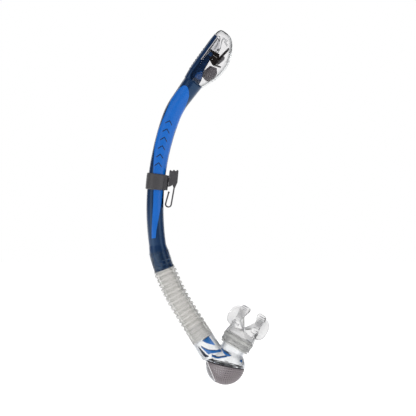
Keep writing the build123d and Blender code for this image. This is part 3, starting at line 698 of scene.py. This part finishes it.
INLET_DIR = lean(148)
FLEX_END = flex_stations()[-1][0]
HOUSING_WALL = 1.6
INLET_R, OUTLET_R = 14.5, 15.5
INLET_SPIGOT_R, SPIGOT_WALL = 10.9, 1.8
ROUND_SIDES = 64
# The skirt round the bowl: the direction it faces, how far it spreads, its outer and inner radius.
SKIRT_LEAN, SKIRT_SPREAD, SKIRT_OUTER, SKIRT_INNER, SKIRT_ROWS = 248, 38.0, 24.8, 24.1, 14
# Outlines (x, z) of the blue baffles, each with its half width across the snorkel.
BAFFLES = [
    ([(40.2, -177.6), (48.0, -171.8), (56.6, -183.4), (51.6, -182.0), (45.6, -180.4)], 7.6),
    ([(38.6, -184.6), (42.0, -186.6), (46.6, -188.6), (51.2, -189.7), (57.2, -189.7), (63.0, -188.9),
      (64.6, -191.2), (58.4, -192.8), (51.4, -193.2), (48.0, -194.4), (43.0, -189.6)], 8.5),
    ([(63.9, -186.9), (66.3, -190.1), (69.5, -192.4), (76.6, -196.3), (72.0, -196.9), (67.1, -193.4)], 12.0),
    ([(52.0, -195.3), (56.8, -197.5), (60.0, -198.2), (66.3, -197.2), (71.0, -196.6), (71.0, -197.4),
      (66.3, -198.5), (60.0, -199.5), (56.6, -198.8), (51.8, -196.6)], 13.0),
    ([(86.4, -203.2), (89.8, -201.4), (89.6, -205.0)], 5.0),
]
# A dark block beside the baffles: painted shade for the dark wedge along the housing's wall.
SHADE_WEDGE = [(35.2, -185.2), (38.0, -187.9), (44.8, -195.0), (48.6, -197.4), (44.4, -198.6), (41.4, -195.8)]
SHADE_WEDGE_HALF = 4.6


def cut_away(piece, origin, normal):
    """Remove what lies beyond a plane and leave the cut open."""
    work = bmesh.new()
    work.from_mesh(piece.data)
    everything = work.verts[:] + work.edges[:] + work.faces[:]
    bmesh.ops.bisect_plane(work, geom=everything, plane_co=origin * MM, plane_no=normal, clear_outer=True)
    work.to_mesh(piece.data)
    work.free()


def ball(centre, radius, rows, sides):
    """Points and faces of a ball with small flat caps at its poles."""
    rings = []
    for i in range(1, rows):
        lat = math.pi * i / rows
        ring = [(math.sin(lat) * math.cos(t), math.sin(lat) * math.sin(t)) for t in round_angles(sides)]
        rings.append([centre + Vector((x * radius, y * radius, -math.cos(lat) * radius)) for x, y in ring])
    return skin(rings, capped=True)


def skirt_rows(radius):
    """Rings of the skirt, round its direction from the bowl's centre."""
    axis, side = lean(SKIRT_LEAN), lean(SKIRT_LEAN + 90)
    rows = []
    for i in range(SKIRT_ROWS):
        tilt = math.radians(SKIRT_SPREAD * (i + 0.05) / (SKIRT_ROWS - 1))
        row = []
        for turn in round_angles(ROUND_SIDES):
            out = (side * math.cos(turn) + ACROSS * math.sin(turn)) * math.sin(tilt)
            row.append(BOWL + (axis * math.cos(tilt) + out) * radius)
        rows.append(row)
    return rows


def build_housing():
    """The clear bowl with its inlet and outlet, the skirt round it and the spigot in its inlet."""
    inlet = tube([FLEX_END - INLET_DIR * 8, FLEX_END, FLEX_END + INLET_DIR * 30], INLET_R, ROUND_SIDES)
    outlet = tube([MOUTH.at(0, 0, z) for z in (-20, 0, 10)], OUTLET_R, ROUND_SIDES)
    piece = closed_piece("lower_housing", ball(BOWL, BOWL_R, rows=40, sides=80), inlet, outlet)
    one_skin(piece, voxel=0.9, rounds=10)
    cut_away(piece, FLEX_END, -INLET_DIR)
    cut_away(piece, MOUTH.at(0, 0, 2), MOUTH.z)
    cut_away(piece, RIM.origin, -RIM.z)
    thicken(piece, HOUSING_WALL)
    settle(piece, "lower_unit", ["lower_chamber"], HOUSING, "clear_housing")

    rings = skirt_rows(SKIRT_OUTER) + skirt_rows(SKIRT_INNER)[::-1]
    skirt = closed_piece("bowl_skirt", skin(rings, looped=True))
    cut_away(skirt, RIM.origin, RIM.z)
    settle(skirt, "lower_unit", None, HOUSING, "clear_housing")

    along = [FLEX_END - INLET_DIR * 18.5, FLEX_END + INLET_DIR * 1.5]
    outer = tube(along, INLET_SPIGOT_R, ROUND_SIDES)[0]
    inner = tube(along, INLET_SPIGOT_R - SPIGOT_WALL, ROUND_SIDES)[0]
    wall_rings = [outer[:ROUND_SIDES], outer[ROUND_SIDES:], inner[ROUND_SIDES:], inner[:ROUND_SIDES]]
    spigot = closed_piece("inlet_spigot", skin(wall_rings, looped=True))
    settle(spigot, "lower_unit", None, HOUSING, "clear_housing")


def build_inner_frame():
    """Blue baffles that close the drain space off from the airway, and beside them a dark block that is painted
    shade for the dark wedge along the housing's wall.
    """
    blue = closed_piece("inner_baffles", *[prism(outline, -half, half) for outline, half in BAFFLES])
    lip = closed_piece("inner_shade_wedge", prism(SHADE_WEDGE, -SHADE_WEDGE_HALF, SHADE_WEDGE_HALF))
    for piece, finish, nodes in ((blue, FRAME_BLUE, ["inner_frame"]), (lip, NAVY_SHADED, None)):
        soften(piece, 0.35)
        settle(piece, "lower_unit", nodes, finish, "frame_blue")


build_housing()
build_inner_frame()


# ---- head: navy back shell and clear cap, split along the cap's rim ----

HEAD_WALL = 1.1
# The head's back, front and half width at heights above its collar.
HEAD_BACK = [(27, -12.8), (40, -14.1), (54, -14.5), (70, -14.5), (84, -14.5), (94, -13.6), (98, -12.5),
             (100.5, -11.0), (101.6, -9.2), (102, -6.2)]
HEAD_FRONT = [(27, 11.8), (40, 17.5), (54, 21.8), (70, 22.4), (84, 18.2), (94, 12.0), (98, 8.4), (100.5, 4.8),
              (101.6, 1.4), (102, -2.4)]
HEAD_HALF = [(27, 12.3), (40, 13.8), (54, 14.8), (70, 15.0), (84, 14.0), (94, 11.3), (98, 9.0), (100.5, 6.4),
             (101.6, 3.8), (102, 1.4)]
HEAD_POWER = 2.95
SEAM_X, SEAM_Z, SEAM_R, SEAM_TOP = -8.5, 28.0, 8.0, 92.0
HEAD_SIDES = 80
# Above this height the cap's rim carries a painted highlight, below it painted shade.
RIM_HIGHLIGHT_FROM = 60.0
# Beyond the head on every side, for the block that splits it.
FAR, FAR_TOP, FAR_SIDE = 60.0, 120.0, 30
# The airway's hole through the floor: its centre, its half lengths and how square it is.
HOLE_X, HOLE_HALF, HOLE_POWER = -6.4, (4.8, 7.25), 0.6
FLOOR_LOW, FLOOR_HIGH, FLOOR_INSET = 27, 29.6, 1.0
BACK_RIBS, BACK_RIB_FROM, BACK_RIB_PITCH = 7, 44, 4.2
# A back rib's points (y, depth from the back) and its radius at each.
BACK_RIB = ((-5.5, 0.9), (-4, 0.3), (-2, 0.05), (0, 0), (2, 0.05), (4, 0.3), (5.5, 0.9))
BACK_RIB_RADII = [0.2, 0.55, 0.7, 0.7, 0.7, 0.55, 0.2]
PANEL = [(-2.8, 34.0), (3.4, 34.0), (6.0, 35.6), (5.4, 38.4), (3.4, 42.4), (1.4, 45.2), (-0.6, 44.6),
         (-2.4, 41.0), (-3.4, 37.0)]
PANEL_THICK, PANEL_LOWS = 0.75, (-9.55, 8.8)


def head_plan(z):
    """Back, front and half width of the head at a height."""
    return spline(HEAD_BACK, z), spline(HEAD_FRONT, z), spline(HEAD_HALF, z)


def head_section(z, shrink=0.0):
    """Points round the head at a height, drawn in by shrink."""
    back, front, half = head_plan(z)
    back, front, half = back + shrink, front - shrink, half - shrink
    ring = []
    for turn in round_angles(HEAD_SIDES):
        x = (front + back) / 2 + (front - back) / 2 * squared(math.cos(turn), 2 / HEAD_POWER)
        ring.append(HEAD.at(x, half * squared(math.sin(turn), 2 / HEAD_POWER), z))
    return ring


def head_side(x, z):
    """How far out the head's side is at a point of its plan."""
    back, front, half = head_plan(z)
    share = min(abs(x - (front + back) / 2) / ((front - back) / 2), 1)
    return half * (1 - share**HEAD_POWER) ** (1 / HEAD_POWER)


def seam_line():
    """The cap's rim from the back of the head, over and down its side, and round to its front."""
    line = [(-13.8, SEAM_TOP), (-12.6, SEAM_TOP), (-11.2, SEAM_TOP), (-9.8, SEAM_TOP - 0.4), (-8.8, SEAM_TOP - 1.4)]
    line += [(SEAM_X, z) for z in (88.5, 86, 80, 74, 68, 62, 56, 50, 44, 40, SEAM_Z + SEAM_R)]
    for k in range(1, 9):
        turn = math.pi / 2 * k / 8
        line.append((SEAM_X + SEAM_R * (1 - math.cos(turn)), SEAM_Z + SEAM_R * (1 - math.sin(turn))))
    return line + [(x, SEAM_Z) for x in (2.0, 4.5, 7.0, 9.5, 11.4)]


def split_head():
    """The clear cap and the navy back, cut from one hollow shell along the cap's rim."""
    climb = [1.5 * k for k in range(46)]
    heights = [27 + rise for rise in climb]
    heights += [95.5, 97, 98.2, 99.2, 100.0, 100.6, 101.1, 101.5, 101.8, 102]
    inner_heights = [28 + rise for rise in climb] + [96.4, 97.6, 98.6, 99.4, 100.0, 100.4]
    outer = skin([head_section(z) for z in heights], capped=True)
    inner = skin([head_section(z, HEAD_WALL) for z in inner_heights], capped=True)
    inner = (inner[0], [tuple(reversed(face)) for face in inner[1]])
    shell = merged("head_shell", [outer, inner])

    outline = [(-FAR, SEAM_TOP)] + seam_line() + [(FAR, SEAM_Z), (FAR, FAR_TOP), (-FAR, FAR_TOP)]
    front = closed_piece("front_block", prism(outline, -FAR_SIDE, FAR_SIDE, HEAD))
    made = []
    for name, operation in (("cap_shell", "INTERSECT"), ("head_back", "DIFFERENCE")):
        piece = add_object(name, shell.data.copy())
        split = piece.modifiers.new("split", "BOOLEAN")
        split.operation = operation
        split.object = front
        split.solver = "EXACT"
        bake(piece)
        made.append(piece)
    drop(shell, front)
    return made


def head_trim_parts():
    """The floor with the airway's hole, the grip ribs on the back and the band below them."""
    floor_rings = [head_section(z, FLOOR_INSET) for z in (FLOOR_LOW, FLOOR_HIGH)]
    hole = [(HOLE_X + HOLE_HALF[0] * squared(math.cos(t), HOLE_POWER),
             HOLE_HALF[1] * squared(math.sin(t), HOLE_POWER)) for t in round_angles(HEAD_SIDES)]
    floor_rings += [[HEAD.at(x, y, z) for x, y in hole] for z in (FLOOR_HIGH, FLOOR_LOW)]
    parts = [skin(floor_rings, looped=True)]
    for rib in range(BACK_RIBS):
        z = BACK_RIB_FROM + rib * BACK_RIB_PITCH
        back = spline(HEAD_BACK, z)
        path = [HEAD.at(back + inset, y, z) for y, inset in BACK_RIB]
        parts.append(tube(path, BACK_RIB_RADII, sides=10))
    band = head_section(39.6, -0.15)
    half_band = [p for p in band if (p - HEAD.origin).dot(HEAD.x) < SEAM_X]
    parts.append(tube(half_band, 0.55, sides=10))
    return parts


def build_head():
    """The head's two shells, its trim, the cap's rim with a painted highlight above a set height and painted shade
    below, and the panels on the inner frame.
    """
    cap, back = split_head()
    settle(cap, "barrel_unit", ["splash_cap"], CAP, "clear_cap", smooth=50)
    trim = closed_piece("head_trim", *head_trim_parts())
    settle(back, "barrel_unit", ["head_body"], NAVY, "navy", smooth=50)
    settle(trim, "barrel_unit", None, NAVY, "navy", smooth=50)

    line = seam_line()
    split = next(i for i, (x, z) in enumerate(line) if z < RIM_HIGHLIGHT_FROM)
    # The rim's upper run is a painted highlight, its lower run painted shade in the darker navy.
    for name, run, finish, slot in (("cap_rim_highlight", line[:split + 1], RIM_HIGHLIGHT, "clear_cap"),
                                    ("cap_rim_shade", line[split:], NAVY_SHADED, "navy")):
        rims = []
        for side in (-1, 1):
            path = [HEAD.at(x, side * (head_side(x, z) + 0.1), z) for x, z in run]
            rims.append(tube(path, 0.5, sides=10))
        settle(closed_piece(name, *rims), "barrel_unit", None, finish, slot, smooth=50)

    panels = closed_piece("frame_panels", *[prism(PANEL, low, low + PANEL_THICK, HEAD) for low in PANEL_LOWS])
    soften(panels, 0.3)
    settle(panels, "barrel_unit", None, NAVY_PANEL, "navy")


# The flap's weight and the lines moulded into the cap, tinted darker than the cap as painted shade, as (x, z) in
# the snorkel's plane.
WEIGHT_OUTLINE = [(57.4, 168.6), (60.0, 172.0), (64.5, 178.2), (66.5, 178.4), (68.6, 175.8), (67.6, 173.2),
                  (61.7, 168.2), (59.3, 167.0)]
WEIGHT_HALF = 4.2
PIVOT = Vector((51.1, 0, 178.7))
# A pivot boss, as distances out from the middle and its radius at each.
BOSS_OUT, BOSS_RADII = (8.6, 9.3, 9.7, 9.9), [2.5, 2.5, 2.2, 1.4]
CAP_LINES = [
    [(66.4, 200.2), (64.6, 196.3), (63.7, 192.5), (63.1, 188.7), (61.8, 185.8), (60.2, 183.4)],
    [(66.4, 200.2), (69.0, 198.2), (71.7, 196.3)],
    [(67.9, 196.3), (69.6, 193.6), (71.7, 190.6)],
    [(59.8, 194.9), (58.6, 192.0), (57.2, 189.6), (55.4, 187.7)],
    [(58.6, 200.6), (56.2, 196.6), (53.4, 192.2), (50.4, 187.6)],
    [(74.6, 186.0), (74.2, 181.5), (73.0, 176.5), (71.2, 171.0)],
]
# The slots at the cap's front, drawn as dark bars of painted shade rather than holes: height on the head and
# length, with the shape that all share.
CAP_SLOT_PLACES = ((93.0, 1.3), (89.4, 1.1), (46.5, 1.9), (42.4, 1.6))
CAP_SLOT_WIDTHS, CAP_SLOT_SHAPE = (-2.6, -1.3, 0, 1.3, 2.6), (0.3, 0.45, 0.5, 0.45, 0.3)


def build_head_details():
    """The flap's weight, the pivot bosses, and the lines and slots moulded into the clear cap, drawn dark as
    painted shade.
    """
    weight = closed_piece("float_block", prism(WEIGHT_OUTLINE, -WEIGHT_HALF, WEIGHT_HALF))
    soften(weight, 0.7, segments=3)
    settle(weight, "flap", ["flap_weight"], WEIGHT, SLOT_OF["flap_weight"])

    bosses = []
    for side in (-1, 1):
        path = [PIVOT + Vector((0, side * y, 0)) for y in BOSS_OUT]
        bosses.append(tube(path, BOSS_RADII, sides=28))
    settle(closed_piece("pivot_bosses", *bosses), "barrel_unit", None, PIVOT_BLUE, "navy")

    ribs = []
    for line in CAP_LINES:
        for side in (-1, 1):
            path = []
            for x, z in line:
                spot = Vector((x, 0, z)) - HEAD.origin
                inside = head_side(spot.dot(HEAD.x), spot.dot(HEAD.z)) - HEAD_WALL - 0.2
                path.append(Vector((x, side * max(inside, 0.6), z)))
            ribs.append(tube(path, 0.45, sides=8))
    settle(closed_piece("cap_ribs_painted_shade", *ribs), "barrel_unit", None, CAP_LINE_SHADE, "clear_cap")

    # Each slot is a dark bar of painted shade on the cap's face, not a hole.
    slots = []
    for z, length in CAP_SLOT_PLACES:
        front = spline(HEAD_FRONT, z) - 0.35
        path = [HEAD.at(front, y, z) for y in CAP_SLOT_WIDTHS]
        slots.append(tube(path, [length * r for r in CAP_SLOT_SHAPE], sides=10))
    settle(closed_piece("cap_slots_painted_shade", *slots), "barrel_unit", None, CAP_SLOT_SHADE, "clear_cap")


build_head()
build_head_details()


# ---- stage ----

# The floor stays clear of the snorkel at every pose. The levels are the world's light on matt and on
# glossy parts.
FLOOR_GAP, FLOOR_SIZE, FLOOR_GLOW = 30.0, 14, 0.42
MATT_LEVEL, GLOSS_LEVEL = 0.7, 0.07
WHITE = (1, 1, 1, 1)
# Each light's place and size in metres, and its power in watts. All of them face LIGHTS_FACE.
LIGHTS_FACE = Vector((0.03, 0, 0))
LIGHTS = {
    "left_strip": ((-1.25, -0.75, 0.1), (0.9, 1.8), 5),
    "right_strip": ((1.35, -0.75, 0.1), (0.9, 1.8), 5),
    "key": ((-0.5, -1.6, 1.3), (1.0, 1.0), 9),
    "back_left": ((-1.0, 1.3, 0.5), (0.6, 1.4), 4),
    "back_right": ((1.1, 1.3, 0.5), (0.6, 1.4), 4),
}
# The camera looks level along +Y at VIEW_CENTRE (x, z), in metres.
VIEW_WIDTH, VIEW_DISTANCE, VIEW_CENTRE = 0.520, 2.6, (0.0474, -0.0119)
SENSOR_WIDTH = 36


def studio_light(name, place, size, power):
    """A soft rectangular light."""
    light = bpy.data.lights.new(name, "AREA")
    light.shape = "RECTANGLE"
    light.size, light.size_y = size
    light.energy = power
    holder = add_object(name, light)
    holder.location = place
    holder.rotation_euler = (LIGHTS_FACE - Vector(place)).to_track_quat("-Z", "Y").to_euler()


def studio():
    """The floor, with a glow that keeps it white, and the lights."""
    bpy.ops.mesh.primitive_plane_add(size=FLOOR_SIZE, location=(0, 0, cad_box[0][2] - FLOOR_GAP * MM))
    floor = bpy.context.object
    floor.name = "floor"
    finish = material("floor", (0.92, 0.92, 0.92), 0.8, grain=(40, 0.05))
    shader = finish.node_tree.nodes["Principled BSDF"]
    shader.inputs["Emission Color"].default_value = WHITE
    shader.inputs["Emission Strength"].default_value = FLOOR_GLOW
    floor.data.materials.append(finish)
    for name, (place, size, power) in LIGHTS.items():
        studio_light(name, place, size, power)


def math_node(tree, operation, *values):
    """The result of a Math node that takes sockets or plain numbers."""
    node = tree.nodes.new("ShaderNodeMath")
    node.operation = operation
    for k, value in enumerate(values):
        if isinstance(value, float):
            node.inputs[k].default_value = value
        else:
            tree.links.new(value, node.inputs[k])
    return node.outputs[0]


def surroundings():
    """White where the camera looks and through clear parts, dimmer to gloss and to matt surfaces."""
    world = bpy.data.worlds.new("studio")
    bpy.context.scene.world = world
    world.use_nodes = True
    tree = world.node_tree
    rays = tree.nodes.new("ShaderNodeLightPath").outputs
    seen = math_node(tree, "MAXIMUM", rays["Is Camera Ray"], rays["Is Transmission Ray"])
    unmirrored = math_node(tree, "LESS_THAN", rays["Glossy Depth"], 0.5)
    bright = math_node(tree, "MULTIPLY", seen, unmirrored)
    matt = math_node(tree, "MULTIPLY_ADD", rays["Is Diffuse Ray"], MATT_LEVEL, GLOSS_LEVEL)
    back = tree.nodes["Background"]
    back.inputs["Color"].default_value = WHITE
    tree.links.new(math_node(tree, "MAXIMUM", bright, matt), back.inputs["Strength"])


def camera():
    """The camera at the photograph's angle."""
    data = bpy.data.cameras.new("camera")
    data.sensor_width = SENSOR_WIDTH
    data.lens = SENSOR_WIDTH * VIEW_DISTANCE / VIEW_WIDTH
    data.clip_end = 50
    holder = add_object("camera", data)
    holder.location = (VIEW_CENTRE[0], -VIEW_DISTANCE, VIEW_CENTRE[1])
    holder.rotation_euler = (math.radians(90), 0, 0)
    bpy.context.scene.camera = holder


bpy.context.scene.view_settings.view_transform = "Standard"
studio()
surroundings()
camera()
